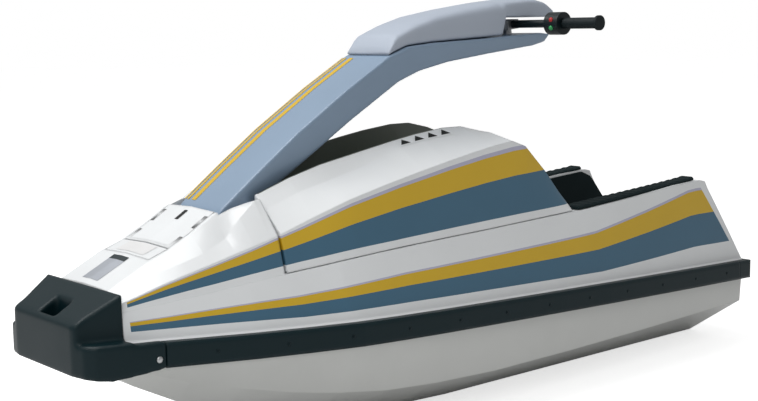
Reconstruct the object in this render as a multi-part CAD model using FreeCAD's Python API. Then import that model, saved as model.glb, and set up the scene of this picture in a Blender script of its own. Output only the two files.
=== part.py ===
import FreeCAD, Part
import math
import os

# Stand-up personal watercraft, parked on its keel. Millimetres.
# +X points to the bow, +Y to port, +Z up; the origin is on the floor under the middle of the craft.

V = FreeCAD.Vector

# ---------------------------------------------------------------- driving dimensions
HALF_LENGTH = 1120.0        # bow bumper and stern corners both end here
HALF_BEAM = 340.0           # outside of the side rails
WALL = 8.0                  # laminate of the hood and the bow cover
GAP = 6.0                   # clearance round everything that moves
SEAM = 0.3                  # clearance under soft pads

RAIL_HEIGHT = 56.0
RAIL_DEPTH = 26.0
RAIL_MID_STERN = 229.0      # height of the rail's middle at the stern
RAIL_SHEER = 0.0335         # its rise towards the bow, per unit of length

KEEL_PAD_HALF = 100.0       # flat of the keel that it stands on
CAP_REAR_X = 1015.0         # where the bow bumper's top meets the deck
BUMPER_END_X = 945.0        # where its arms meet the side rails
CORNER_START_X = -1052.0    # where the side rails meet the stern corners

HOOD_FRONT_X = 618.0
HOOD_REAR_X = -340.0
HOOD_GAP = 8.0
BAY_SILL = 46.0             # width of the ledge that the hood sits on
BAY_FLOOR_Z = 62.0

TRAY_HALF = 184.0
TRAY_FLOOR_Z = 305.0
STERN_SLOPE_TOP_X = -948.0
MAT_THICK = 8.0
PAD_THICK = 11.0

PIVOT_X = 655.0
PIVOT_Z = 530.0
PIVOT_PIN_R = 10.0
POLE_BASE_R = 65.0
POLE_HALF = 90.0
POLE_UNDER_HALF = 74.0
POLE_FOLD = 21.5            # degrees from the stored height down into the hood's channel
PAD_HALF = 84.0

BAR_X = -343.0
BAR_Z = 997.0
BAR_R = 11.0
BAR_HALF = 343.0
GRIP_R = 15.0
GRIP_LENGTH = 122.0
STEM_TILT = 6.5             # degrees that the steering stem leans forward

COVER_FRONT_X = 905.0
COVER_HALF = 96.0
WELL_DEPTH = 70.0

PUMP_Z = 104.0
PUMP_R = 84.0
PUMP_BORE = 76.0
PUMP_FRONT_X = -700.0
PUMP_LENGTH = 210.0
TUNNEL_HALF = 96.0
TUNNEL_TOP_Z = 196.0
NOZZLE_PIVOT_X = -975.0
NOZZLE_R = 50.0
NOZZLE_LENGTH = 120.0
SHAFT_R = 11.0
INTAKE_REAR_X = -600.0
INTAKE_LENGTH = 270.0
INTAKE_HALF = 62.0
PLATE_THICK = 8.0
ENGINE_REAR_X = -200.0


# ---------------------------------------------------------------- lines of the craft
def curve(*points):
    """A smooth line that never overshoots the points it passes through."""
    points = sorted(points)
    slopes = []
    for k in range(len(points)):
        a, b, c = points[max(k - 1, 0)], points[k], points[min(k + 1, len(points) - 1)]
        left = (b[1] - a[1]) / (b[0] - a[0]) if k else (c[1] - b[1]) / (c[0] - b[0])
        right = (c[1] - b[1]) / (c[0] - b[0]) if c is not b else left
        slopes.append(0.0 if left * right <= 0 else 2 * left * right / (left + right))

    def at(x):
        x = min(max(x, points[0][0]), points[-1][0])
        k = max(i for i in range(len(points) - 1) if points[i][0] <= x)
        (x0, y0), (x1, y1) = points[k], points[k + 1]
        h = x1 - x0
        t = (x - x0) / h
        return (
            (1 + 2 * t) * (1 - t) ** 2 * y0
            + t * (1 - t) ** 2 * h * slopes[k]
            + t * t * (3 - 2 * t) * y1
            - t * t * (1 - t) * h * slopes[k + 1]
        )

    return at


rail_share = curve((-1.0, 0.94), (-0.91, 0.954), (-0.78, 0.965), (-0.37, 0.991), (0.0, 1.0), (0.18, 0.999),
                   (0.42, 0.968), (0.54, 0.906), (0.65, 0.835), (0.76, 0.744), (0.84, 0.676), (1.0, 0.515))
gunwale_inset = curve((-1120, 62), (-940, 68), (-400, 80), (292, 85), (446, 84), (709, 72), (911, 58), (1015, 45))
gunwale_height = curve((-1120, 522), (-900, 520), (-656, 502), (-433, 486), (-340, 483), (-40, 470), (292, 457),
                       (446, 447), (582, 436), (709, 424), (828, 409), (911, 401), (1040, 390))
keel_height = curve((-1120, 0), (100, 0), (300, 20), (500, 50), (700, 98), (850, 150), (1000, 236), (1060, 290))
chine_half = curve((-1120, 284), (-600, 292), (0, 288), (300, 268), (450, 245), (600, 215), (700, 190),
                   (850, 145), (1000, 92), (1060, 70))
chine_height = curve((-1120, 124), (-600, 112), (0, 102), (300, 109), (450, 123), (600, 146), (700, 168),
                     (850, 206), (1000, 262), (1060, 300))
crease_half = curve((-340, 240), (-120, 230), (108, 230), (272, 226), (425, 219), (564, 206), (698, 196), (822, 182),
                    (906, 170), (1040, 156))
crease_height = curve((-340, 500), (-128, 690), (-20, 676), (108, 654), (272, 621), (425, 585), (564, 540), (623, 520),
                      (698, 500), (822, 466), (906, 443), (1040, 402))
fairing_ridge_half = curve((618, 133), (645, 136), (735, 150), (800, 158), (914, 140), (1040, 120))
fairing_ridge_height = curve((618, 600), (645, 596), (735, 520), (800, 494), (914, 460), (1040, 412))
fairing_top = curve((618, 596), (720, 582), (748, 566), (853, 508), (914, 486), (1040, 422))
hood_edge_half = curve((-340, 205), (-175, 150), (14, 138), (353, 138), (618, 142))
hood_edge_height = curve((-340, 495), (-250, 612), (-175, 688), (-98, 714), (14, 708), (189, 688), (353, 640), (507, 608),
                         (618, 572))
hood_ridge_height = curve((-340, 497), (-250, 622), (-175, 694), (-98, 719), (-57, 727), (9, 727), (140, 711), (308, 682),
                          (466, 652), (618, 604))


def rail_half(x):
    return HALF_BEAM * rail_share(x / HALF_LENGTH)


def rail_mid(x):
    return RAIL_MID_STERN + RAIL_SHEER * (x + HALF_LENGTH)


def gunwale_half(x):
    return rail_half(x) - gunwale_inset(x)


# ---------------------------------------------------------------- making shapes
def box(x0, x1, y0, y1, z0, z1):
    return Part.makeBox(x1 - x0, y1 - y0, z1 - z0, V(x0, y0, z0))


def rod(start, direction, radius, length):
    return Part.makeCylinder(radius, length, V(*start), V(*direction))


def side_prism(outline, y0, y1):
    """An outline of (x, z) corners, made solid from y0 to y1."""
    corners = [V(x, y0, z) for x, z in outline]
    return Part.Face(Part.makePolygon(corners + corners[:1])).extrude(V(0, y1 - y0, 0))


def end_prism(outline, x0, x1):
    """An outline of (y, z) corners, made solid from x0 to x1."""
    corners = [V(x0, y, z) for y, z in outline]
    return Part.Face(Part.makePolygon(corners + corners[:1])).extrude(V(x1 - x0, 0, 0))


def plan_prism(outline, z0, z1):
    corners = [V(x, y, z0) for x, y in outline]
    return Part.Face(Part.makePolygon(corners + corners[:1])).extrude(V(0, 0, z1 - z0))


def section(x, half):
    """A closed section at station x from the port half's (y, z) corners, keel to top."""
    port = [V(x, y, z) for y, z in half]
    starboard = [V(x, -y, z) for y, z in reversed(half) if y > 0]
    return Part.makePolygon(port + starboard + port[:1])


def loft(stations, outline):
    return Part.makeLoft([section(x, outline(x)) for x in stations], True, True)


def mirrored(shape):
    return shape.mirror(V(0, 0, 0), V(0, 1, 0))


def both_sides(shape):
    return Part.makeCompound([shape, mirrored(shape)])


def turned(shape, degrees, axis=V(0, 1, 0), centre=None):
    shape = shape.copy()
    shape.rotate(centre or V(PIVOT_X, 0, PIVOT_Z), axis, degrees)
    return shape


def save(node, shape):
    shape = shape.removeSplitter() if len(shape.Solids) == 1 else shape
    if not shape.isValid():
        raise ValueError(node + " is not a valid shape")
    shape.exportStep(os.path.join("parts", node + ".step"))


# ---------------------------------------------------------------- hull
STERN_X = 8 - HALF_LENGTH
HULL_STATIONS = [STERN_X, -900, -600, -300, 0, 200, 350, 480, 600, 720, 840, 940, 1020, 1060]


def hull_outline(x):
    join = rail_mid(x)
    side = rail_half(x) - RAIL_DEPTH
    pad = min(KEEL_PAD_HALF, 0.6 * chine_half(x))
    return [(0, keel_height(x)), (pad, keel_height(x)), (chine_half(x), chine_height(x)),
            (side - 6, join - 40), (side, join)]


def intake_cut():
    """The water way from the grate in the keel up to the pump."""
    front = INTAKE_REAR_X + INTAKE_LENGTH
    outline = [(front, -5), (front, 14), (PUMP_FRONT_X, PUMP_Z + INTAKE_HALF), (PUMP_FRONT_X, PUMP_Z - INTAKE_HALF),
               (INTAKE_REAR_X, 22), (INTAKE_REAR_X, -5)]
    return side_prism(outline, -INTAKE_HALF, INTAKE_HALF)


def bay_half():
    return gunwale_half(HOOD_REAR_X) - BAY_SILL - 40


def engine_bay():
    return box(HOOD_REAR_X + 60, HOOD_FRONT_X - 70, -bay_half(), bay_half(), BAY_FLOOR_Z, 600)


def make_hull():
    hull = loft(HULL_STATIONS, hull_outline)
    bay = box(HOOD_REAR_X + 60, 250, -bay_half(), bay_half(), BAY_FLOOR_Z, 600)
    tunnel = box(STERN_X - 10, PUMP_FRONT_X, -TUNNEL_HALF, TUNNEL_HALF, -5, TUNNEL_TOP_Z)
    bore = rod((PUMP_FRONT_X - 1, 0, PUMP_Z), (1, 0, 0), SHAFT_R + GAP, 500)
    return hull.cut(bay).cut(tunnel).cut(intake_cut()).cut(bore)


# ---------------------------------------------------------------- deck
def deck_outline(x):
    side = rail_half(x) - RAIL_DEPTH
    top = rail_mid(x) + RAIL_HEIGHT / 2
    return [(0, rail_mid(x)), (side, rail_mid(x)), (side, top - 4), (side - 8, top + 4),
            (gunwale_half(x), gunwale_height(x)), (0, gunwale_height(x))]


def fairing_outline(x):
    return [(0, rail_mid(x) + 20), (gunwale_half(x) - 12, rail_mid(x) + 20),
            (gunwale_half(x) - 1, gunwale_height(x) - 1),
            (crease_half(x), crease_height(x)), (fairing_ridge_half(x), fairing_ridge_height(x)),
            (COVER_HALF + 10, fairing_top(x) - 4), (0, fairing_top(x))]


def stern_slope():
    foot = rail_mid(-HALF_LENGTH) + RAIL_HEIGHT / 2 + 4
    top = gunwale_height(STERN_SLOPE_TOP_X)
    outline = [(STERN_X - 20, foot), (STERN_X, foot), (STERN_SLOPE_TOP_X - 12, top - 30), (STERN_SLOPE_TOP_X, top - 6),
               (STERN_SLOPE_TOP_X + 26, top), (STERN_SLOPE_TOP_X + 26, 700), (STERN_X - 20, 700)]
    return side_prism(outline, -HALF_BEAM, HALF_BEAM)


def tray_cut():
    outline = [(-TRAY_HALF, TRAY_FLOOR_Z), (TRAY_HALF, TRAY_FLOOR_Z), (TRAY_HALF + 12, 600), (-TRAY_HALF - 12, 600)]
    return end_prism(outline, STERN_X - 20, HOOD_REAR_X)


def pole_recess():
    wide = POLE_HALF + GAP + 14
    front = PIVOT_X + POLE_BASE_R + GAP
    return box(HOOD_FRONT_X - HOOD_GAP - 60, front, -wide, wide, PIVOT_Z - POLE_BASE_R - GAP - 8, 720)


def cover_seat(clear):
    rear = PIVOT_X + POLE_BASE_R + GAP + 2
    half = COVER_HALF + clear
    return box(rear - clear, COVER_FRONT_X + clear, -half, half, 300, 700)


def cover_skin(thick):
    """A layer of the fairing's top, down to the given depth."""
    stations = [735, 760, 800, 853, 890, 914]
    def outline(x):
        return [(0, fairing_top(x) - thick), (COVER_HALF + 9, fairing_top(x) - 4 - thick),
                (COVER_HALF + 9, fairing_top(x) - 3.8), (0, fairing_top(x) + 0.2)]
    return loft([PIVOT_X + POLE_BASE_R] + stations, outline)


def bow_well():
    rear = PIVOT_X + POLE_BASE_R + GAP + 12
    return box(rear, COVER_FRONT_X - 60, -COVER_HALF + 14, COVER_HALF - 14, 470 - WELL_DEPTH, 700)


def make_deck():
    stations = [STERN_X, -948, -800, -600, -400, -200, 0, 200, 350, 480, 618, 720, 840, 940, CAP_REAR_X, 1060]
    deck = loft(stations, deck_outline)
    fairing = loft([HOOD_FRONT_X + HOOD_GAP, 645, 690, 735, 800, 860, 914, CAP_REAR_X, 1040], fairing_outline)
    deck = deck.fuse(fairing)
    seat = cover_seat(1.5).common(cover_skin(WALL + 3))
    return (deck.cut(stern_slope()).cut(tray_cut()).cut(engine_bay()).cut(pole_recess())
            .cut(seat).cut(bow_well()).cut(bumper_block()))


# ---------------------------------------------------------------- rails and bumpers
def rail_section(x, height, inset=0.0):
    out = rail_half(x)
    inner = out - RAIL_DEPTH
    low, high = rail_mid(x) - height / 2, rail_mid(x) + height / 2
    return Part.makePolygon([V(x, inner, low), V(x, out - 5, low), V(x, out, low + 7), V(x, out, high - 7),
                             V(x, out - 5, high), V(x, inner, high), V(x, inner, low)])


def make_rail():
    stations = [CORNER_START_X, -872, -650, -411, -200, -17, 205, 350, 474, 607, 733, 849, BUMPER_END_X]
    return Part.makeLoft([rail_section(x, RAIL_HEIGHT) for x in stations], True, True)


def make_stern_corner():
    out = rail_half(-HALF_LENGTH)
    side = Part.makeLoft([rail_section(x, RAIL_HEIGHT) for x in (CORNER_START_X, STERN_X)], True, True)
    low, high = rail_mid(-HALF_LENGTH) - RAIL_HEIGHT / 2, rail_mid(-HALF_LENGTH) + RAIL_HEIGHT / 2
    back = box(-HALF_LENGTH, STERN_X, TUNNEL_HALF + 100, out - 4, low, high)
    return side.fuse(back)


def bumper_outline():
    """The bow bumper seen from above."""
    port = [(HALF_LENGTH, 0), (HALF_LENGTH, 130), (HALF_LENGTH - 9, 170), (HALF_LENGTH - 26, 190)]
    port += [(HALF_LENGTH - 70, 205), (1000, 219), (BUMPER_END_X, rail_half(BUMPER_END_X))]
    starboard = [(x, -y) for x, y in reversed(port) if y > 0]
    return port + starboard


def bumper_block():
    top = gunwale_height(CAP_REAR_X) + 60
    return plan_prism([(CAP_REAR_X, -250), (1200, -250), (1200, 250), (CAP_REAR_X, 250)], 200, top)


def make_bow_bumper():
    low = rail_mid(1040) - RAIL_HEIGHT / 2 - 4
    body = plan_prism(bumper_outline(), low - 18, 480)
    nose = side_prism([(BUMPER_END_X, low), (1060, low - 14), (HALF_LENGTH, low - 6), (HALF_LENGTH, 372),
                       (HALF_LENGTH - 14, 382), (CAP_REAR_X, fairing_top(CAP_REAR_X)), (CAP_REAR_X, low + 60),
                       (BUMPER_END_X, low + 60)], -HALF_BEAM, HALF_BEAM)
    body = body.common(nose)
    shoulder = plan_prism([(CAP_REAR_X - 100, 176), (CAP_REAR_X - 100, 400), (1200, 400), (1200, 140), (1090, 146),
                           (CAP_REAR_X, 172)], rail_mid(1040) + RAIL_HEIGHT / 2 + 6, 500)
    body = body.cut(shoulder).cut(mirrored(shoulder))
    inside = [(BUMPER_END_X - 1, rail_half(BUMPER_END_X) - RAIL_DEPTH)]
    inside += [(x, rail_half(x) - RAIL_DEPTH) for x in (BUMPER_END_X, 980, CAP_REAR_X)]
    inside = inside + [(x, -y) for x, y in reversed(inside)]
    body = body.cut(plan_prism(inside, 100, 600))
    hull_nose = loft([940, 1020, 1060.1], hull_outline)
    body = body.cut(hull_nose)
    scoop = box(1062, 1108, -36, 36, 352, 500)
    hole = rod((1085, 0, 200), (0, 0, 1), 15, 300)
    return body.cut(scoop).cut(hole)


# ---------------------------------------------------------------- hood and its folded-pole channel
POLE_PATH = (            # pairs of points: top edge (x, z) and underside (x, z), from the base to the rear tip
    ((694, 582), (600, 496)),
    ((660, 608), (560, 560)),
    ((592, 658), (518, 625)),
    ((477, 740), (410, 690)),
    ((321, 838), (301, 757)),
    ((180, 918), (134, 851)),
    ((110, 942), (60, 877)),
    ((20, 950), (-44, 898)),
    ((-160, 958), (-200, 917)),
    ((-397, 972), (-377, 936)),
    ((-430, 968), (-424, 946)),
)


def folded(x, z):
    """Where a point of the raised pole lies once the pole is folded."""
    a = math.radians(POLE_FOLD)
    dx, dz = x - PIVOT_X, z - PIVOT_Z
    return (PIVOT_X + dx * math.cos(a) - dz * math.sin(a), PIVOT_Z + dx * math.sin(a) + dz * math.cos(a))


def channel_cut():
    half = POLE_HALF + GAP + 6
    floor = [folded(*under) for top, under in POLE_PATH]
    floor = [(x, z - GAP - 4) for x, z in floor]
    outline = [(700, 900), (700, floor[0][1])] + floor + [(floor[-1][0] - 50, 900)]
    return side_prism(outline, -half, half)


def hood_outline(x, inset=0.0):
    half = gunwale_half(x) - 2
    base = gunwale_height(x) + 2
    ridge = POLE_HALF + GAP + 10
    drop = inset * 1.2
    return [(0, base - drop), (half - inset, base - drop), (crease_half(x) - inset, crease_height(x) - inset * 0.4),
            (hood_edge_half(x) - inset * 0.3, hood_edge_height(x) - inset),
            (min(ridge, hood_edge_half(x) - 8), hood_ridge_height(x) - inset), (0, hood_ridge_height(x) - inset)]


HOOD_STATIONS = [HOOD_REAR_X, -300, -250, -175, -128, -57, 9, 108, 189, 308, 425, 520, HOOD_FRONT_X]


def make_hood():
    outer = loft(HOOD_STATIONS, hood_outline)
    inner_stations = [HOOD_REAR_X + 40, -250, -175, -128, -57, 9, 108, 189, 308, 425, 520, HOOD_FRONT_X - WALL]
    inner = loft(inner_stations, lambda x: hood_outline(x, WALL))
    channel = channel_cut()
    half = POLE_HALF + GAP + 6 + WALL
    keep = box(HOOD_REAR_X, HOOD_FRONT_X, -half, half, 0, 900).common(channel_slab())
    return outer.cut(inner.cut(keep)).cut(channel)


def channel_slab():
    """The channel's walls and floor, as thick as the laminate."""
    half = POLE_HALF + GAP + 6 + WALL
    floor = [folded(*under) for top, under in POLE_PATH]
    floor = [(x, z - GAP - 4 - WALL) for x, z in floor]
    outline = [(700, 900), (700, floor[0][1])] + floor + [(floor[-1][0] - 50, 900)]
    return side_prism(outline, -half, half)


# ---------------------------------------------------------------- handle pole
def pole_section(top, under):
    (tx, tz), (ux, uz) = top, under
    return Part.makePolygon([V(tx, -POLE_HALF, tz), V(tx, POLE_HALF, tz), V(ux, POLE_UNDER_HALF, uz),
                             V(ux, -POLE_UNDER_HALF, uz), V(tx, -POLE_HALF, tz)])


def make_pole():
    arm = Part.makeLoft([pole_section(*pair) for pair in POLE_PATH], True, True)
    base = rod((PIVOT_X, -POLE_HALF + 2, PIVOT_Z), (0, 1, 0), POLE_BASE_R, 2 * POLE_HALF - 4)
    wedge = side_prism([(694, 582), (600, 496), (PIVOT_X, PIVOT_Z)], -POLE_UNDER_HALF, POLE_UNDER_HALF)
    bore = rod((PIVOT_X, -150, PIVOT_Z), (0, 1, 0), PIVOT_PIN_R + 0.05, 300)
    stem = stem_axis()
    stem_bore = rod((stem[0].x, 0, stem[0].z), (stem[1].x, 0, stem[1].z), 14.05, 200)
    return arm.fuse(base).fuse(wedge).cut(bore).cut(stem_bore)


def stem_axis():
    """A point low on the steering stem and its direction."""
    tilt = math.radians(STEM_TILT)
    up = V(math.sin(tilt), 0, math.cos(tilt))
    return V(BAR_X, 0, BAR_Z) - up * 64, up


def pole_top(x):
    return 950.0 + (20 - x) * (22.0 / 417.0)


def make_pole_pad():
    outline = [(176, pole_front(176) + 1), (150, 972), (79, 1001), (8, 1022), (-102, 1041), (-218, 1057), (-340, 1069),
               (-380, 1070), (-422, 1061), (-452, 1038), (-458, 1016), (-440, 1016), (-262, 1016), (-256, 1010),
               (-256, pole_top(-256) + SEAM), (20, pole_top(20) + SEAM), (110, 943.0), (176, pole_front(176) + SEAM)]
    return side_prism(outline, -PAD_HALF, PAD_HALF)


def pole_front(x):
    return 918.0 + (180 - x) * (24.0 / 70.0)


def make_bracket():
    ear = 12.0
    inner = POLE_HALF + GAP
    low = PIVOT_Z - POLE_BASE_R - GAP - 8
    plate = box(PIVOT_X - 34, PIVOT_X + 60, -inner - ear, inner + ear, low, low + 7)
    for side in (-1, 1):
        y0 = min(side * inner, side * (inner + ear))
        cheek = box(PIVOT_X - 30, PIVOT_X + 30, y0, y0 + ear, low, PIVOT_Z)
        cheek = cheek.fuse(rod((PIVOT_X, y0, PIVOT_Z), (0, 1, 0), 30, ear))
        plate = plate.fuse(cheek)
    return plate.cut(rod((PIVOT_X, -150, PIVOT_Z), (0, 1, 0), PIVOT_PIN_R, 300))


def make_pivot_pin():
    half = POLE_HALF + GAP + 12
    return rod((PIVOT_X, -half, PIVOT_Z), (0, 1, 0), PIVOT_PIN_R, 2 * half)


# ---------------------------------------------------------------- handlebar
def make_stem():
    low, up = stem_axis()
    foot = rod((low.x, 0, low.z), tuple(up), 14, 64 - BAR_R)
    clamp = Part.makeBox(44, 56, 26, V(-22, -28, 0))
    clamp.rotate(V(0, 0, 0), V(0, 1, 0), STEM_TILT)
    clamp.translate(V(BAR_X, 0, BAR_Z) - up * 14)
    return foot.fuse(clamp).cut(rod((BAR_X, -BAR_HALF, BAR_Z), (0, 1, 0), BAR_R, 2 * BAR_HALF))


def make_bar():
    return rod((BAR_X, -BAR_HALF + 3, BAR_Z), (0, 1, 0), BAR_R, 2 * BAR_HALF - 6)


def make_grip():
    sleeve = rod((BAR_X, BAR_HALF - GRIP_LENGTH, BAR_Z), (0, 1, 0), GRIP_R, GRIP_LENGTH - 3)
    flange = rod((BAR_X, BAR_HALF - 8, BAR_Z), (0, 1, 0), 20, 8)
    bore = rod((BAR_X, BAR_HALF - GRIP_LENGTH - 1, BAR_Z), (0, 1, 0), BAR_R, GRIP_LENGTH - 2)
    return sleeve.fuse(flange).cut(bore)


def make_switch():
    start = BAR_HALF - GRIP_LENGTH - 52
    body = rod((BAR_X, start, BAR_Z), (0, 1, 0), 31, 48)
    return body.cut(rod((BAR_X, start - 1, BAR_Z), (0, 1, 0), BAR_R, 60))


def make_throttle():
    start = -(BAR_HALF - GRIP_LENGTH - 6)
    body = rod((BAR_X, start, BAR_Z), (0, 1, 0), 22, 30)
    lever = side_prism([(BAR_X - 24, BAR_Z - 5), (BAR_X - 24, BAR_Z + 5), (BAR_X - 34, BAR_Z + 5),
                        (BAR_X - 34, BAR_Z - 5)], start - 55, start + 20)
    arm = box(BAR_X - 34, BAR_X - 15, start + 4, start + 20, BAR_Z - 5, BAR_Z + 5)
    return body.fuse(lever).fuse(arm).cut(rod((BAR_X, start - 60, BAR_Z), (0, 1, 0), BAR_R, 120))


# ---------------------------------------------------------------- jet drive
def tube_x(x0, x1, outer, inner, z=PUMP_Z):
    return rod((x0, 0, z), (1, 0, 0), outer, x1 - x0).cut(rod((x0 - 1, 0, z), (1, 0, 0), inner, x1 - x0 + 2))


def make_pump():
    rear = PUMP_FRONT_X - PUMP_LENGTH
    barrel = tube_x(rear, PUMP_FRONT_X, PUMP_R, PUMP_BORE)
    throat = Part.makeCone(NOZZLE_R + 4, PUMP_R, 30, V(rear - 30, 0, PUMP_Z), V(1, 0, 0))
    throat = throat.cut(Part.makeCone(NOZZLE_R - 4, PUMP_BORE, 30.0, V(rear - 30, 0, PUMP_Z), V(1, 0, 0)))
    ears = box(PUMP_FRONT_X - 30, PUMP_FRONT_X, -TUNNEL_HALF, TUNNEL_HALF, PUMP_Z - 20, PUMP_Z + 20)
    ears = ears.cut(rod((PUMP_FRONT_X - 40, 0, PUMP_Z), (1, 0, 0), PUMP_R - 2, 60))
    hanger = box(rear - 30, rear + 40, -14, 14, PUMP_Z + PUMP_R - 6, TUNNEL_TOP_Z)
    body = barrel.fuse(throat).fuse(ears).fuse(hanger)
    for side in (-1, 1):
        arm = box(NOZZLE_PIVOT_X - 12, rear + 4, -14, 14, PUMP_Z + side * (NOZZLE_R + 12) - 4,
                  PUMP_Z + side * (NOZZLE_R + 12) + 4)
        body = body.fuse(arm)
    pivot = rod((NOZZLE_PIVOT_X, 0, 0), (0, 0, 1), 6, 250)
    return body.cut(pivot)


def make_nozzle():
    front = NOZZLE_PIVOT_X + 12
    shell = Part.makeCone(NOZZLE_R - 10, NOZZLE_R, NOZZLE_LENGTH, V(front - NOZZLE_LENGTH, 0, PUMP_Z), V(1, 0, 0))
    bore = Part.makeCone(NOZZLE_R - 16, NOZZLE_R - 6, NOZZLE_LENGTH + 0.01,
                         V(front - NOZZLE_LENGTH, 0, PUMP_Z), V(1, 0, 0))
    pins = [rod((NOZZLE_PIVOT_X, 0, PUMP_Z + s), (0, 0, 1), 5.95, 22) for s in (NOZZLE_R - 6, -NOZZLE_R - 16)]
    horn = box(front - 60, front - 40, NOZZLE_R - 8, NOZZLE_R + 14, PUMP_Z - 5, PUMP_Z + 5)
    return shell.fuse(pins[0]).fuse(pins[1]).fuse(horn).cut(bore)


def make_impeller():
    hub_front = PUMP_FRONT_X - 60
    hub = rod((hub_front - 90, 0, PUMP_Z), (1, 0, 0), 28, 90)
    for k in range(3):
        blade = Part.makeBox(60, 5, PUMP_BORE - GAP - 12, V(-30, -2.5, 12))
        blade.rotate(V(0, 0, 0), V(0, 0, 1), 32)
        blade.rotate(V(0, 0, 0), V(1, 0, 0), 120 * k)
        blade.translate(V(hub_front - 45, 0, PUMP_Z))
        hub = hub.fuse(blade)
    limit = rod((hub_front - 200, 0, PUMP_Z), (1, 0, 0), PUMP_BORE - GAP, 400)
    return hub.common(limit).cut(rod((hub_front - 200, 0, PUMP_Z), (1, 0, 0), SHAFT_R, 400))


def make_shaft():
    start = PUMP_FRONT_X - 150
    return rod((start, 0, PUMP_Z), (1, 0, 0), SHAFT_R, ENGINE_REAR_X + 40 - start)


def make_engine():
    block = box(ENGINE_REAR_X, 170, -120, 120, BAY_FLOOR_Z + 10, BAY_FLOOR_Z + 320)
    mounts = box(-180, 150, -140, 140, BAY_FLOOR_Z, BAY_FLOOR_Z + 12)
    return block.fuse(mounts).cut(rod((-1000, 0, PUMP_Z), (1, 0, 0), SHAFT_R + 0.05, 1000 + ENGINE_REAR_X + 41))


def make_ride_plate():
    rear = NOZZLE_PIVOT_X + 40
    return box(rear, PUMP_FRONT_X, -TUNNEL_HALF, TUNNEL_HALF, 0, PLATE_THICK)


def make_grate():
    x0, x1 = INTAKE_REAR_X + 4, INTAKE_REAR_X + INTAKE_LENGTH - 4
    grate = box(x0, x0 + 16, -INTAKE_HALF, INTAKE_HALF, 0, 10)
    grate = grate.fuse(box(x1 - 16, x1, -INTAKE_HALF, INTAKE_HALF, 0, 10))
    for y in (-42, -14, 14, 42):
        grate = grate.fuse(box(x0, x1, y - 4, y + 4, 0, 10))
    return grate


# ---------------------------------------------------------------- small pieces
def make_gunwale_pad():
    start, end = HOOD_REAR_X - 24, STERN_SLOPE_TOP_X + 40
    stations = [start, -500, -656, -800, end]
    def ring(x):
        out, top = gunwale_half(x) - 7, gunwale_height(x) + SEAM
        inner = TRAY_HALF + 11
        return Part.makePolygon([V(x, inner, top), V(x, out, top), V(x, out - 4, top + PAD_THICK - 2),
                                 V(x, inner + 4, top + PAD_THICK), V(x, inner, top)])
    return Part.makeLoft([ring(x) for x in stations], True, True)


def make_mat():
    floor = TRAY_FLOOR_Z + SEAM
    return box(STERN_X + 40, HOOD_REAR_X - 20, -TRAY_HALF + 6, TRAY_HALF - 6, floor, floor + MAT_THICK)


def make_latch():
    x = HOOD_REAR_X - 0.3
    return box(x - 10, x, -22, 22, TRAY_FLOOR_Z + 100, TRAY_FLOOR_Z + 150)


def make_exhaust():
    return rod((STERN_X, 150, 178), (-1, 0, 0), 24, 8).cut(rod((STERN_X + 1, 150, 178), (-1, 0, 0), 18, 20))


def make_drain_plugs():
    plug = rod((STERN_X, 190, 150), (-1, 0, 0), 13, 7)
    return both_sides(plug)


def make_fuel_cap():
    x = 780.0
    return rod((x, -crease_half(x) + 22, crease_height(x) + 4), (0.25, -0.3, 0.92), 24, 16)


def make_cover():
    return cover_seat(0).common(cover_skin(WALL))


os.makedirs("parts", exist_ok=True)
hull = make_hull()
fuel_cap = make_fuel_cap()
deck = make_deck().cut(fuel_cap)
rail = make_rail().cut(deck).cut(hull)
corner = make_stern_corner().cut(deck).cut(hull)
pad = make_gunwale_pad().cut(deck)
grip = make_grip()
pieces = {
    "hull": hull,
    "deck": deck,
    "bow_bumper": make_bow_bumper(),
    "side_rail_port": rail,
    "side_rail_starboard": mirrored(rail),
    "stern_corner_port": corner,
    "stern_corner_starboard": mirrored(corner),
    "gunwale_pad_port": pad,
    "gunwale_pad_starboard": mirrored(pad),
    "tray_mat": make_mat(),
    "hood": make_hood(),
    "bow_cover": make_cover(),
    "pole_bracket": make_bracket(),
    "pivot_pin": make_pivot_pin(),
    "handle_pole": make_pole(),
    "pole_pad": make_pole_pad(),
    "steering_stem": make_stem(),
    "handlebar": make_bar(),
    "grip_port": grip,
    "grip_starboard": mirrored(grip),
    "switch_housing": make_switch(),
    "throttle": make_throttle(),
    "engine_block": make_engine(),
    "jet_pump": make_pump(),
    "steering_nozzle": make_nozzle(),
    "impeller": make_impeller(),
    "drive_shaft": make_shaft(),
    "ride_plate": make_ride_plate(),
    "intake_grate": make_grate(),
    "exhaust_outlet": make_exhaust(),
    "drain_plugs": make_drain_plugs(),
    "fuel_cap": fuel_cap,
}
for node, shape in pieces.items():
    save(node, shape)
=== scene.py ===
import bpy
import bmesh
import math
from mathutils import Matrix, Vector


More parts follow.
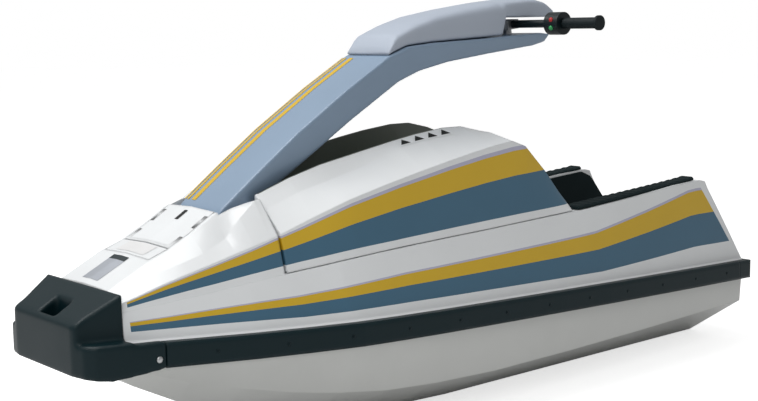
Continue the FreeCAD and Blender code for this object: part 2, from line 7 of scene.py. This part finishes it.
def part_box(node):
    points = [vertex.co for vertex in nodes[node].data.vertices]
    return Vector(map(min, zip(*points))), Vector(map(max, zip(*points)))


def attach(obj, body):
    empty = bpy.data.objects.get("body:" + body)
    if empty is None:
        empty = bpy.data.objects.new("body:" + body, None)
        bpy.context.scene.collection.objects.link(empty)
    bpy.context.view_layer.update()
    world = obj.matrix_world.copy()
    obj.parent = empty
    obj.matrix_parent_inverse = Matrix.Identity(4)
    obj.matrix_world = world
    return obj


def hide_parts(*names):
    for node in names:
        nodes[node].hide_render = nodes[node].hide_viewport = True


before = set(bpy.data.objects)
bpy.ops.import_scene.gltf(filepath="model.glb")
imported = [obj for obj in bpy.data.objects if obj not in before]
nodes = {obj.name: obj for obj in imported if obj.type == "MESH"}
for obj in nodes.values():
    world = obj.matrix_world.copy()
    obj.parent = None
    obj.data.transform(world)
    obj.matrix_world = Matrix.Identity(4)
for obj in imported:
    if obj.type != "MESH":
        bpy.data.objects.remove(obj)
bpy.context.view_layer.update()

# ---------------------------------------------------------------- deck, hood and bow cover
# The upper moulding is white gelcoat over glass-fibre laminate, with a lift-off hood and a bow
# cover of the same. Yellow and grey-blue stripes are laid on its sides: one set under the gunwale
# edge, and one set above it that runs on across the hood.
WHITE = (0.80, 0.82, 0.83, 1)
YELLOW = (0.66, 0.42, 0.012, 1)
BLUE = (0.045, 0.135, 0.215, 1)
BORDER = (0.47, 0.47, 0.60, 1)
# The channel down the middle of the hood, above CHANNEL_LOW_Z, is coloured dark grey-green.
CHANNEL_GREY = (0.13, 0.145, 0.12, 1)
HALF_LENGTH = 1.12
MOULDED_EDGE = 0.006
MOTTLE_SCALE = 7.0
MOTTLE_DETAIL = 6.0
MOTTLE_SHARE = 0.10
SMOOTHEST = 0.8
ROUGHEST = 1.25
COAT_ROUGHNESS = 0.06
RELIEF_DEPTH = 0.001

# Lines along the craft that the stripes lie between, as (x, height), and how far out they start.
GUNWALE = ((-1.12, 0.522), (-0.9, 0.52), (-0.656, 0.502), (-0.34, 0.483), (-0.04, 0.47),
           (0.292, 0.457), (0.582, 0.436), (0.709, 0.424), (0.911, 0.401), (1.04, 0.39))
CREASE = ((-0.34, 0.70), (-0.128, 0.69), (-0.02, 0.676), (0.108, 0.654), (0.272, 0.621), (0.425, 0.585),
          (0.564, 0.54), (0.698, 0.50), (0.822, 0.466), (0.906, 0.443), (1.04, 0.402))
LEDGE = ((-1.12, 0.262), (1.12, 0.337))
STRIPE_INNER_Y = ((-1.12, 0.2), (0.0, 0.2), (0.5, 0.15), (1.1, 0.1))
# Edges of each stripe, as (x, share of the way down from its upper line to its lower one).
UPPER_BORDER_TOP = 0.07
UPPER_YELLOW_TOP = 0.12
UPPER_BLUE_TOP = ((-0.34, 0.42), (0.6, 0.42), (0.8, 0.36), (1.0, 0.28))
UPPER_BLUE_FOOT = ((-0.34, 0.90), (0.3, 0.87), (0.8, 0.74), (1.0, 0.62))
LOWER_YELLOW_TOP = ((-0.95, 0.12), (-0.86, 0.12), (-0.42, 0.36), (0.3, 0.42), (0.6, 0.47), (1.0, 0.40))
LOWER_BLUE_TOP = ((-0.95, 0.40), (-0.86, 0.40), (-0.42, 0.58), (0.3, 0.60), (0.6, 0.62), (1.0, 0.52))
LOWER_BLUE_FOOT = ((-0.95, 0.78), (-0.86, 0.78), (-0.42, 0.88), (0.3, 0.86), (0.6, 0.86), (1.0, 0.72))
LOWER_BORDER_SHARE = 0.03
STRIPE_FRONT_X = 1.0
TRANSOM_RAKE = 0.726
TRANSOM_FOOT_X = -1.285
CHANNEL_HALF = 0.1065
CHANNEL_FRONT_X = 0.612
CHANNEL_REAR_X = -0.20
CHANNEL_LOW_Z = 0.5


def material(name, colour, rough, coat=0.0, grain=400.0, bump=0.05, metal=0.0, round_edge=0.0, shine=0.5):
    """A finish with slight colour mottle, a fine surface grain and softened edges."""
    made = bpy.data.materials.new(name)
    made.use_nodes = True
    tree = made.node_tree
    shader = tree.nodes["Principled BSDF"]
    shader.inputs["Roughness"].default_value = rough
    shader.inputs["Metallic"].default_value = metal
    shader.inputs["Specular IOR Level"].default_value = shine
    shader.inputs["Coat Weight"].default_value = coat
    shader.inputs["Coat Roughness"].default_value = COAT_ROUGHNESS
    place = tree.nodes.new("ShaderNodeTexCoord").outputs["Object"]
    mottle = tree.nodes.new("ShaderNodeTexNoise")
    mottle.inputs["Scale"].default_value = MOTTLE_SCALE
    mottle.inputs["Detail"].default_value = MOTTLE_DETAIL
    tree.links.new(place, mottle.inputs["Vector"])
    shade = tree.nodes.new("ShaderNodeMix")
    shade.data_type = "RGBA"
    shade.blend_type = "MULTIPLY"
    shade.inputs["Factor"].default_value = MOTTLE_SHARE
    shade.inputs[6].default_value = colour
    tree.links.new(mottle.outputs["Fac"], shade.inputs[7])
    tree.links.new(shade.outputs[2], shader.inputs["Base Color"])
    worn = tree.nodes.new("ShaderNodeMapRange")
    worn.inputs["To Min"].default_value = rough * SMOOTHEST
    worn.inputs["To Max"].default_value = rough * ROUGHEST
    tree.links.new(mottle.outputs["Fac"], worn.inputs["Value"])
    tree.links.new(worn.outputs[0], shader.inputs["Roughness"])
    fine = tree.nodes.new("ShaderNodeTexNoise")
    fine.inputs["Scale"].default_value = grain
    tree.links.new(place, fine.inputs["Vector"])
    relief = tree.nodes.new("ShaderNodeBump")
    relief.inputs["Strength"].default_value = bump
    relief.inputs["Distance"].default_value = RELIEF_DEPTH
    tree.links.new(fine.outputs["Fac"], relief.inputs["Height"])
    if round_edge:
        bevel = tree.nodes.new("ShaderNodeBevel")
        bevel.inputs["Radius"].default_value = round_edge
        tree.links.new(bevel.outputs[0], relief.inputs["Normal"])
    tree.links.new(relief.outputs[0], shader.inputs["Normal"])
    return made


def striped_gelcoat():
    """White gelcoat with both sets of stripes, placed between the gunwale, ledge and crease lines."""
    made = material("striped_gelcoat", WHITE, 0.34, coat=0.25, bump=0.02, round_edge=MOULDED_EDGE)
    tree = made.node_tree
    shade = next(n for n in tree.nodes if n.type == "MIX")
    split = tree.nodes.new("ShaderNodeSeparateXYZ")
    tree.links.new(next(n for n in tree.nodes if n.type == "TEX_COORD").outputs["Object"], split.inputs[0])
    x, y, z = split.outputs

    def math_node(kind, a, b):
        node = tree.nodes.new("ShaderNodeMath")
        node.operation = kind
        for socket, value in zip(node.inputs, (a, b)):
            if isinstance(value, (int, float)):
                socket.default_value = value
            else:
                tree.links.new(value, socket)
        return node.outputs[0]

    def both(first, second):
        return math_node("MULTIPLY", first, second)

    def between(value, low, high):
        return both(math_node("GREATER_THAN", value, low), math_node("LESS_THAN", value, high))

    along = math_node("DIVIDE", math_node("ADD", x, HALF_LENGTH), 2 * HALF_LENGTH)

    def line(points):
        """The value of a line drawn along the craft, from (x, value) points in metres."""
        node = tree.nodes.new("ShaderNodeFloatCurve")
        marks = node.mapping.curves[0].points
        spots = sorted(((px + HALF_LENGTH) / (2 * HALF_LENGTH), value) for px, value in points)
        marks[0].location, marks[1].location = spots[0], spots[-1]
        for spot in spots[1:-1]:
            marks.new(*spot)
        for mark in node.mapping.curves[0].points:
            mark.handle_type = "VECTOR"
        node.mapping.update()
        tree.links.new(along, node.inputs["Value"])
        return node.outputs[0]

    def share_down(top, foot):
        return math_node("DIVIDE", math_node("SUBTRACT", top, z), math_node("SUBTRACT", top, foot))

    gunwale = line(GUNWALE)
    outboard = math_node("GREATER_THAN", math_node("ABSOLUTE", y, 0), line(STRIPE_INNER_Y))
    raked_x = math_node("ADD", math_node("MULTIPLY", z, TRANSOM_RAKE), TRANSOM_FOOT_X)
    on_side = both(outboard, between(x, raked_x, STRIPE_FRONT_X))
    upper = share_down(line(CREASE), gunwale)
    lower = share_down(gunwale, line(LEDGE))
    upper_blue_top = line(UPPER_BLUE_TOP)
    lower_yellow_top = line(LOWER_YELLOW_TOP)
    lower_blue_top = line(LOWER_BLUE_TOP)
    lower_border_top = math_node("SUBTRACT", lower_yellow_top, LOWER_BORDER_SHARE)
    in_channel = both(math_node("LESS_THAN", math_node("ABSOLUTE", y, 0), CHANNEL_HALF),
                      between(x, CHANNEL_REAR_X, CHANNEL_FRONT_X))
    layer = None
    for colour, mask in (
        (CHANNEL_GREY, both(in_channel, math_node("GREATER_THAN", z, CHANNEL_LOW_Z))),
        (BORDER, both(on_side, between(upper, UPPER_BORDER_TOP, UPPER_YELLOW_TOP))),
        (YELLOW, both(on_side, between(upper, UPPER_YELLOW_TOP, upper_blue_top))),
        (BLUE, both(on_side, between(upper, upper_blue_top, line(UPPER_BLUE_FOOT)))),
        (BORDER, both(on_side, between(lower, lower_border_top, lower_yellow_top))),
        (YELLOW, both(on_side, between(lower, lower_yellow_top, lower_blue_top))),
        (BLUE, both(on_side, between(lower, lower_blue_top, line(LOWER_BLUE_FOOT)))),
    ):
        mix = tree.nodes.new("ShaderNodeMix")
        mix.data_type = "RGBA"
        tree.links.new(mask, mix.inputs["Factor"])
        if layer is None:
            mix.inputs[6].default_value = WHITE
        else:
            tree.links.new(layer, mix.inputs[6])
        mix.inputs[7].default_value = colour
        layer = mix.outputs[2]
    tree.links.new(layer, shade.inputs[6])
    return made


def paint_nodes(finish, *names):
    for name in names:
        mesh = nodes[name].data
        mesh.materials.clear()
        mesh.materials.append(finish)


paint_nodes(striped_gelcoat(), "deck", "hood", "bow_cover")

# ---------------------------------------------------------------- hull
# The lower moulding is the same glass-fibre laminate under plain white gelcoat. It is bonded to
# the deck all round, behind the side rails.
HULL_WHITE = (0.66, 0.67, 0.65, 1)
paint_nodes(material("hull_gelcoat", HULL_WHITE, 0.3, coat=0.3, bump=0.03, round_edge=MOULDED_EDGE), "hull")

# ---------------------------------------------------------------- bow bumper, side rails and stern corners
# The bumper, rails and corners are dark green-black moulded plastic. The rails are riveted over
# the joint between hull and deck, and the bumper has a screw on each side.
DARK_GREEN = (0.002, 0.014, 0.018, 1)
STEEL_GREY = (0.55, 0.56, 0.57, 1)
DOME_FLATTENING = 0.45
RIVET_COUNT = 12
RIVET_REAR_X = -0.98
RIVET_STEP = 0.165
RIVET_RADIUS = 0.0042
RAIL_MID_STERN = 0.229
RAIL_SHEER = 0.0335
SCREW_X = 0.962
SCREW_Z = 0.292
SCREW_RADIUS = 0.008
MOULDING_VOXEL = 0.004
BUMPER_PASSES = 14
bumper_finish = material("bumper_plastic", DARK_GREEN, 0.38, grain=900, bump=0.10, round_edge=0.008,
                         shine=0.22)
paint_nodes(bumper_finish, "bow_bumper", "side_rail_port", "side_rail_starboard",
            "stern_corner_port", "stern_corner_starboard")


def piece(name, bm, finish, body, smooth=True):
    mesh = bpy.data.meshes.new(name)
    bm.to_mesh(mesh)
    bm.free()
    for face in mesh.polygons:
        face.use_smooth = smooth
    mesh.materials.append(finish)
    made = bpy.data.objects.new(name, mesh)
    bpy.context.scene.collection.objects.link(made)
    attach(made, body)
    return made


def surface_y(node, x, z):
    """Where the port side of a node lies at x and z, found by a ray from outside."""
    return nodes[node].ray_cast((x, 1.0, z), (0, -1, 0))[1].y


def dome(bm, x, y, z, radius, side):
    """A low round head on a side wall."""
    head = bmesh.ops.create_uvsphere(bm, u_segments=12, v_segments=6, radius=radius)
    bmesh.ops.scale(bm, vec=(1, DOME_FLATTENING, 1), verts=head["verts"])
    bmesh.ops.translate(bm, vec=(x, side * y, z), verts=head["verts"])


def softened(node, name, finish, body, passes):
    """The node's own shape with its corners moulded round."""
    mesh = nodes[node].data.copy()
    mesh.materials.clear()
    mesh.materials.append(finish)
    made = bpy.data.objects.new(name, mesh)
    bpy.context.scene.collection.objects.link(made)
    remesh = made.modifiers.new("even", "REMESH")
    remesh.mode = "VOXEL"
    remesh.voxel_size = MOULDING_VOXEL
    remesh.use_smooth_shade = True
    smooth = made.modifiers.new("round", "SMOOTH")
    smooth.iterations = passes
    smooth.factor = 0.5
    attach(made, body)
    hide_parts(node)


rivets = bmesh.new()
for k in range(RIVET_COUNT):
    x = RIVET_REAR_X + k * RIVET_STEP
    z = RAIL_MID_STERN + RAIL_SHEER * (x + HALF_LENGTH)
    y = surface_y("side_rail_port", x, z)
    for side in (-1, 1):
        dome(rivets, x, y, z, RIVET_RADIUS, side)
piece("rail_rivets", rivets, bumper_finish, "craft")
steel = material("steel", STEEL_GREY, 0.28, metal=1.0, grain=700, bump=0.04, round_edge=0.001)
screws = bmesh.new()
for side in (-1, 1):
    dome(screws, SCREW_X, surface_y("bow_bumper", SCREW_X, SCREW_Z), SCREW_Z, SCREW_RADIUS, side)
piece("bumper_screws", screws, steel, "craft")
softened("bow_bumper", "bow_bumper_moulding", bumper_finish, "craft", BUMPER_PASSES)

# ---------------------------------------------------------------- tray mat and gunwale pads
# Closed-cell foam with moulded cross ribs, cut to shape and glued on. The mat covers the tray
# floor, and a narrow pad lies along the top of each gunwale.
FOAM_DARK = (0.003, 0.012, 0.014, 1)
RIB_SHARE = 0.62
MAT_RIB_STEP = 0.012
MAT_GROOVE = 0.003
MAT_MARGIN = 0.001
MAT_EDGE_DROP = 0.002
MAT_EDGE_WIDTH = 0.003
STRIP_RIB_STEP = 0.016
STRIP_GROOVE = 0.0015
STRIP_INNER_Y = 0.1965
STRIP_INNER_TOP_Y = 0.203
STRIP_OUTER_Y = 0.2465
STRIP_FLARE = 0.010
STRIP_THICK = 0.0095
STRIP_EDGE_DROP = 0.004
STRIP_EDGE_WIDTH = 0.006
STRIP_REAR_RISE = 0.011
STRIP_SHEER_POWER = 0.85
mat_finish = material("mat_foam", FOAM_DARK, 0.75, grain=1200, bump=0.3, shine=0.2)


def ribbed_sheet(stations, ring):
    """A closed strip from rings of (y, z) corners at each station."""
    bm = bmesh.new()
    rings = [[bm.verts.new((x, y, z)) for y, z in ring(x, k)] for k, x in enumerate(stations)]
    for a, b in zip(rings, rings[1:]):
        for i in range(len(a)):
            bm.faces.new((a[i - 1], a[i], b[i], b[i - 1]))
    bm.faces.new(rings[0])
    bm.faces.new(reversed(rings[-1]))
    bmesh.ops.recalc_face_normals(bm, faces=bm.faces)
    return bm


def ladder(low, high, step):
    """Stations in pairs, so that every second stretch is a raised rib."""
    count = int((high - low) / step)
    marks = [k // 2 + (RIB_SHARE if k % 2 else 0) for k in range(2 * count)]
    return [low + (high - low) * mark / count for mark in marks] + [high]


def sunk(k, groove):
    """How far station k lies below the ribs: two stations in every four are a rib."""
    return 0.0 if k % 4 in (0, 1) else groove


mat_low, mat_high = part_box("tray_mat")


def mat_ring(x, k):
    top = mat_high[2] - sunk(k, MAT_GROOVE)
    half = mat_high[1] - MAT_MARGIN
    return [(-half, mat_low[2]), (half, mat_low[2]),
            (half, top - MAT_EDGE_DROP), (half - MAT_EDGE_WIDTH, top),
            (-half + MAT_EDGE_WIDTH, top), (-half, top - MAT_EDGE_DROP)]


mat = piece("tray_mat_foam", ribbed_sheet(ladder(mat_low[0], mat_high[0], MAT_RIB_STEP), mat_ring),
            mat_finish, "craft", smooth=False)
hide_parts("tray_mat")
for side, node in ((1, "gunwale_pad_port"), (-1, "gunwale_pad_starboard")):
    low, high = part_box(node)

    def pad_ring(x, k, side=side):
        """The pad follows the gunwale's height and outer edge."""
        share = (x - low[0]) / (high[0] - low[0])
        top = high[2] - 0.0005 - (high[2] - low[2] - STRIP_REAR_RISE) * share ** STRIP_SHEER_POWER
        outer = STRIP_OUTER_Y + STRIP_FLARE * share
        face = top - sunk(k, STRIP_GROOVE)
        corners = ((STRIP_INNER_Y, top - STRIP_THICK), (outer, top - STRIP_THICK),
                   (outer, top - STRIP_EDGE_DROP), (outer - STRIP_EDGE_WIDTH, face),
                   (STRIP_INNER_TOP_Y, face), (STRIP_INNER_Y, top - STRIP_EDGE_DROP))
        return [(side * y, z) for y, z in corners]

    strip = piece(node + "_foam", ribbed_sheet(ladder(low[0], high[0], STRIP_RIB_STEP), pad_ring),
                  mat_finish, "craft", smooth=False)
    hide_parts(node)

# ---------------------------------------------------------------- wall liners
# The inside of each gunwale is lined with a thin sheet of the same foam. It is glued to the wall
# from just above the tray floor up to the gunwale's edge.
TRAY_FLOOR_Z = 0.305
WALL_FOOT_Y = 0.184
WALL_LEAN = 12 / 295
LINER_FRONT_X = -0.346
LINER_STEP = 0.0205
LINER_STATIONS = 37
LINER_FOOT_Z = 0.316
LINER_TOP_GAP = 0.004
LINER_BACK = 0.0005
LINER_FACE = 0.007
LINER_ROWS = 4
GUNWALE_EDGE = ((LINER_FRONT_X, 0.330), (-0.362, 0.4845), (-0.433, 0.487), (-0.656, 0.502),
                (-0.90, 0.5185), (-0.945, 0.500), (-1.085, 0.330))


def along_line(points, x):
    """The value at x of a line through (x, value) points that run from bow to stern."""
    for (xa, va), (xb, vb) in zip(points, points[1:]):
        if xb <= x <= xa:
            return va + (vb - va) * (x - xa) / (xb - xa)
    return points[-1][1]


def wall_y(z):
    """Where the leaning tray wall lies at height z."""
    return WALL_FOOT_Y + WALL_LEAN * (z - TRAY_FLOOR_Z)


for side, name in ((1, "wall_liner_port"), (-1, "wall_liner_starboard")):
    def liner_ring(x, k, side=side):
        high = along_line(GUNWALE_EDGE, x) - LINER_TOP_GAP
        rows = [LINER_FOOT_Z + (high - LINER_FOOT_Z) * i / LINER_ROWS for i in range(LINER_ROWS + 1)]
        outer = [(side * (wall_y(z) - LINER_BACK), z) for z in rows]
        inner = [(side * (wall_y(z) - LINER_FACE), z) for z in reversed(rows)]
        return outer + inner

    liner_stations = [LINER_FRONT_X - LINER_STEP * k for k in range(LINER_STATIONS)]
    liner = piece(name, ribbed_sheet(liner_stations, liner_ring), mat_finish,
                  "craft", smooth=False)

# ---------------------------------------------------------------- handle pole
# A moulded beam painted satin grey-blue, with three yellow pinstripes laid along its upper face.
# It turns on the pivot pin at its foot.
POLE_BLUE = (0.235, 0.325, 0.44, 1)
POLE_PASSES = 6
POLE_TOP = ((0.690, 0.5855), (0.660, 0.608), (0.592, 0.658), (0.477, 0.740), (0.321, 0.838), (0.19, 0.9125))
PINSTRIPES = ((-0.050, 0.016), (-0.074, 0.008), (-0.086, 0.005))
PINSTRIPE_LIFT = 0.0006
pole_finish = material("pole_paint", POLE_BLUE, 0.36, coat=0.15, bump=0.05, round_edge=MOULDED_EDGE)
softened("handle_pole", "handle_pole_moulding", pole_finish, "handle_pole", POLE_PASSES)
pinstripes = bmesh.new()
for centre, width in PINSTRIPES:
    for (x0, z0), (x1, z1) in zip(POLE_TOP, POLE_TOP[1:]):
        slope = math.atan2(z1 - z0, x0 - x1)
        out_x = math.sin(slope) * PINSTRIPE_LIFT
        out_z = math.cos(slope) * PINSTRIPE_LIFT
        corners = [(x + out_x, centre + s * width / 2, z + out_z)
                   for x, z, s in ((x0, z0, -1), (x0, z0, 1), (x1, z1, 1), (x1, z1, -1))]
        pinstripes.faces.new([pinstripes.verts.new(c) for c in corners])
piece("pole_pinstripes", pinstripes, material("pole_stripe", YELLOW, 0.35), "handle_pole",
      smooth=False)

# ---------------------------------------------------------------- pole bracket and pivot pin
# A cast alloy bracket is bolted to the deck, and a steel pin through it carries the pole.
# Both are left bare.
ALLOY_GREY = (0.52, 0.53, 0.54, 1)
alloy = material("alloy", ALLOY_GREY, 0.4, metal=1.0, grain=300, bump=0.2, round_edge=0.002)
paint_nodes(alloy, "pole_bracket")
paint_nodes(steel, "pivot_pin")

# ---------------------------------------------------------------- pole pad
# A chest pad of foam under a grey cover, fastened on the end of the pole. It is crowned along the
# top and open at the rear, round the handlebar.
COVER_GREY = (0.42, 0.47, 0.55, 1)
PAD_TOP = ((0.176, 0.930), (0.150, 0.971), (0.079, 1.000), (0.008, 1.021), (-0.102, 1.040), (-0.218, 1.056),
           (-0.340, 1.068), (-0.380, 1.069), (-0.422, 1.060), (-0.448, 1.040), (-0.457, 1.027))
PAD_LOW = ((0.176, 0.9215), (0.110, 0.9435), (0.020, 0.951), (-0.252, 0.9650), (-0.2575, 1.0165),
           (-0.457, 1.0165))
PAD_HALF_Y = 0.0835
PAD_CORNERS = 32
PAD_TOP_POWER = 0.42
PAD_FOOT_POWER = 0.16
PAD_CROWN_POWER = 0.1
PAD_STEP = 0.0105
PAD_FRONT_X = 0.176
PAD_STEP_X = (-0.2575, -0.262)
PAD_TAIL_X = -0.27
pad_finish = material("pad_cover", COVER_GREY, 0.55, grain=1500, bump=0.25)


def pad_section(x, k):
    """A squarish oval, rounder above than below."""
    low, high = along_line(PAD_LOW, x), along_line(PAD_TOP, x)
    mid, half_high = (low + high) / 2, (high - low) / 2
    ring = []
    for i in range(PAD_CORNERS):
        angle = 2 * math.pi * i / PAD_CORNERS
        c, s = math.cos(angle), math.sin(angle)
        power = PAD_TOP_POWER if s > 0 else PAD_FOOT_POWER
        out = math.copysign(abs(c) ** power, c)
        up = math.copysign(abs(s) ** (power + PAD_CROWN_POWER), s)
        ring.append((PAD_HALF_Y * out, mid + half_high * up))
    return ring


pad_stations = [PAD_FRONT_X - PAD_STEP * k for k in range(41)]
pad_stations += PAD_STEP_X
pad_stations += [PAD_TAIL_X - PAD_STEP * k for k in range(18)]
pad = piece("pole_pad_cover", ribbed_sheet(pad_stations, pad_section), pad_finish, "handle_pole")
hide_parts("pole_pad")

# ---------------------------------------------------------------- handlebar and its controls
# A black bar on an alloy stem, with ribbed rubber grips pushed over its ends. The switch pod is
# clamped on the port side, with a green start button and a red stop button.
CONTROL_BLACK = (0.003, 0.009, 0.011, 1)
START_GREEN = (0.02, 0.30, 0.08, 1)
STOP_RED = (0.5, 0.02, 0.02, 1)
BAR_X = -0.343
BAR_Z = 0.997
POD_Y = 0.195
POD_FACE = 0.0285
BUTTON_RADIUS = 0.007
BUTTON_SHAPE = (0.8, 2.2, 1)
rubber = material("grip_rubber", CONTROL_BLACK, 0.6, grain=900, bump=0.35, round_edge=0.002, shine=0.3)
black = material("black_plastic", CONTROL_BLACK, 0.38, bump=0.15, round_edge=0.004, shine=0.35)
paint_nodes(rubber, "grip_port", "grip_starboard")
paint_nodes(black, "switch_housing", "throttle", "handlebar")
paint_nodes(alloy, "steering_stem")
for name, colour, rise in (("start_button", START_GREEN, -0.012), ("stop_button", STOP_RED, 0.010)):
    button = bmesh.new()
    dome(button, 0, 0, 0, BUTTON_RADIUS, 1)
    bmesh.ops.scale(button, vec=BUTTON_SHAPE, verts=button.verts)
    bmesh.ops.translate(button, vec=(BAR_X + POD_FACE, POD_Y, BAR_Z + rise), verts=button.verts)
    piece(name, button, material(name, colour, 0.35), "handlebar")

# ---------------------------------------------------------------- engine, jet pump and drive
# A painted engine block turns a steel shaft and impeller inside a cast alloy pump. The alloy ride
# plate and intake grate lie under the pump's tunnel, and the nozzle swings behind it.
ENGINE_GREY = (0.06, 0.065, 0.07, 1)
paint_nodes(material("engine_paint", ENGINE_GREY, 0.6, grain=120, bump=0.5), "engine_block")
paint_nodes(steel, "drive_shaft", "impeller")
paint_nodes(alloy, "jet_pump", "steering_nozzle", "ride_plate", "intake_grate")

# ---------------------------------------------------------------- fuel cap, exhaust outlet and drain plugs
# The fuel cap is black plastic, set into the deck. The exhaust outlet and the drain plugs are
# black rubber, set in the stern.
paint_nodes(black, "fuel_cap")
paint_nodes(rubber, "exhaust_outlet", "drain_plugs")

# ---------------------------------------------------------------- hood vents
# Four triangular air vents lie in a row on the crown of each hood hump. Each has a raised white
# plastic frame round its opening, which is drawn as a dark sheet of painted shade on the hood.
OPENING_SHADE = (0.004, 0.005, 0.005, 1)
VENT_COUNT = 4
VENT_REAR_X = 0.022
VENT_STEP = 0.047
VENT_Y = 0.121
VENT_CORNERS = ((-0.023, 0.014), (0.023, 0.014), (0.0, -0.012))
# Painted shade: the vent openings and the latch slot are dark sheets that stand for the shade inside them.
painted_opening_shade = material("painted_opening_shade", OPENING_SHADE, 0.7)


def surface_z(node, x, y):
    """Where the top of a node lies at x and y, found by a ray from above."""
    return nodes[node].ray_cast((x, y, 2.0), (0, 0, -1))[1].z


for name, grow, lift, finish in (("vent_frames", 1.0, 0.0010, material("vent_frame", WHITE, 0.3)),
                                 ("vent_opening_shade", 0.72, 0.0016, painted_opening_shade)):
    bm = bmesh.new()
    for side in (-1, 1):
        for k in range(VENT_COUNT):
            centre = VENT_REAR_X + VENT_STEP * k
            corners = [(centre + dx * grow, side * (VENT_Y + dy * grow)) for dx, dy in VENT_CORNERS]
            bm.faces.new([bm.verts.new((x, y, surface_z("hood", x, y) + lift)) for x, y in corners])
    piece(name, bm, finish, "hood", smooth=False)

# ---------------------------------------------------------------- latch slot and blank labels
# The bow cover has a latch slot near its rear edge, drawn as a dark patch of painted shade, and a blank
# decal near its front one. A blank metal plate with a dark header is stuck on the deck ahead of it.
PLATE_GREY = (0.50, 0.53, 0.58, 1)
DECAL_GREY = (0.74, 0.74, 0.74, 1)
HEADER_REAR_X = 0.918
PLATE_REAR_X = 0.932
PLATE_FRONT_X = 1.000
PLATE_HALF = 0.034
DECAL_REAR_X = 0.860
DECAL_FRONT_X = 0.898
DECAL_HALF = 0.06
SLOT_REAR_X = 0.742
SLOT_FRONT_X = 0.772
SLOT_HALF = 0.007
PATCH_STEPS = 8
PATCH_LIFT = 0.0008


def patch(name, node, rear, front, half, finish, body):
    """A thin sticker that lies on the surface, cut into a fine grid."""
    bm = bmesh.new()
    grid = [[bm.verts.new((x, y, surface_z(node, x, y) + PATCH_LIFT))
             for y in [-half + 2 * half * j / PATCH_STEPS for j in range(PATCH_STEPS + 1)]]
            for x in [rear + (front - rear) * i / PATCH_STEPS for i in range(PATCH_STEPS + 1)]]
    for a, b in zip(grid, grid[1:]):
        for j in range(PATCH_STEPS):
            bm.faces.new((a[j], b[j], b[j + 1], a[j + 1]))
    bmesh.ops.recalc_face_normals(bm, faces=bm.faces)
    piece(name, bm, finish, body, smooth=False)


patch("blank_plate", "deck", PLATE_REAR_X, PLATE_FRONT_X, PLATE_HALF,
      material("blank_plate", PLATE_GREY, 0.35, metal=0.6), "craft")
patch("plate_header", "deck", HEADER_REAR_X, PLATE_REAR_X, PLATE_HALF,
      material("plate_header", DARK_GREEN, 0.4), "craft")
patch("blank_decal", "bow_cover", DECAL_REAR_X, DECAL_FRONT_X, DECAL_HALF,
      material("blank_decal", DECAL_GREY, 0.35), "bow_cover")
# The latch slot is a flat dark patch of painted shade on the bow cover.
patch("latch_slot_shade", "bow_cover", SLOT_REAR_X, SLOT_FRONT_X, SLOT_HALF, painted_opening_shade, "bow_cover")

# ---------------------------------------------------------------- floor, light and camera
# The craft is shown on a pale studio floor under two soft lamps and a plain white surround. The
# camera looks from the port bow, at about the height of the handlebar.
FLOOR_SIZE = 60
FLOOR_GREY = (0.8, 0.8, 0.8, 1)
FLOOR_GLOW = 0.66
SURROUND_LIGHT = 0.42
SURROUND_SEEN = 1.0
LAMP_AIM_Z = 0.4
EYE = Vector((2.355, 2.563, 0.9855))
YAW, DIP, ROLL = 0.859, 0.132, 0.012
SENSOR_WIDTH = 36
LENS = 61.06
bpy.ops.mesh.primitive_plane_add(size=FLOOR_SIZE)
floor = bpy.context.object
floor_finish = bpy.data.materials.new("floor")
floor_finish.use_nodes = True
floor_tree = floor_finish.node_tree
floor_shader = floor_tree.nodes["Principled BSDF"]
floor_shader.inputs["Base Color"].default_value = FLOOR_GREY
floor_shader.inputs["Roughness"].default_value = 0.9
floor_shader.inputs["Emission Color"].default_value = (1, 1, 1, 1)
floor_rays = floor_tree.nodes.new("ShaderNodeLightPath")
floor_glow = floor_tree.nodes.new("ShaderNodeMath")
floor_glow.operation = "MULTIPLY"
floor_glow.inputs[1].default_value = FLOOR_GLOW
floor_tree.links.new(floor_rays.outputs["Is Camera Ray"], floor_glow.inputs[0])
floor_tree.links.new(floor_glow.outputs[0], floor_shader.inputs["Emission Strength"])
floor.data.materials.append(floor_finish)
world = bpy.data.worlds.new("studio")
bpy.context.scene.world = world
world.use_nodes = True
world_tree = world.node_tree
background = world_tree.nodes["Background"]
background.inputs["Color"].default_value = (1, 1, 1, 1)
rays = world_tree.nodes.new("ShaderNodeLightPath")
seen = world_tree.nodes.new("ShaderNodeMath")
seen.operation = "MAXIMUM"
world_tree.links.new(rays.outputs["Is Camera Ray"], seen.inputs[0])
world_tree.links.new(rays.outputs["Is Transmission Ray"], seen.inputs[1])
level = world_tree.nodes.new("ShaderNodeMapRange")
level.inputs["To Min"].default_value = SURROUND_LIGHT
level.inputs["To Max"].default_value = SURROUND_SEEN
world_tree.links.new(seen.outputs[0], level.inputs["Value"])
world_tree.links.new(level.outputs[0], background.inputs["Strength"])
for spot, size, watts in (((1.5, -1.0, 4.2), 3.0, 130), ((4.0, 2.0, 3.0), 2.5, 45)):
    lamp = bpy.data.lights.new("softbox", "AREA")
    lamp.size = size
    lamp.energy = watts
    holder = bpy.data.objects.new("softbox", lamp)
    holder.location = spot
    aim = Vector((-spot[0], -spot[1], LAMP_AIM_Z - spot[2]))
    holder.rotation_euler = aim.to_track_quat("-Z", "Y").to_euler()
    bpy.context.scene.collection.objects.link(holder)
look = Vector((-math.cos(YAW) * math.cos(DIP), -math.sin(YAW) * math.cos(DIP), -math.sin(DIP)))
camera_data = bpy.data.cameras.new("camera")
camera_data.sensor_width = SENSOR_WIDTH
camera_data.lens = LENS
camera = bpy.data.objects.new("camera", camera_data)
turn = look.to_track_quat("-Z", "Y").to_matrix().to_4x4() @ Matrix.Rotation(-ROLL, 4, "Z")
camera.matrix_world = Matrix.Translation(EYE) @ turn
bpy.context.scene.collection.objects.link(camera)
bpy.context.scene.camera = camera
bpy.context.scene.view_settings.view_transform = "Standard"
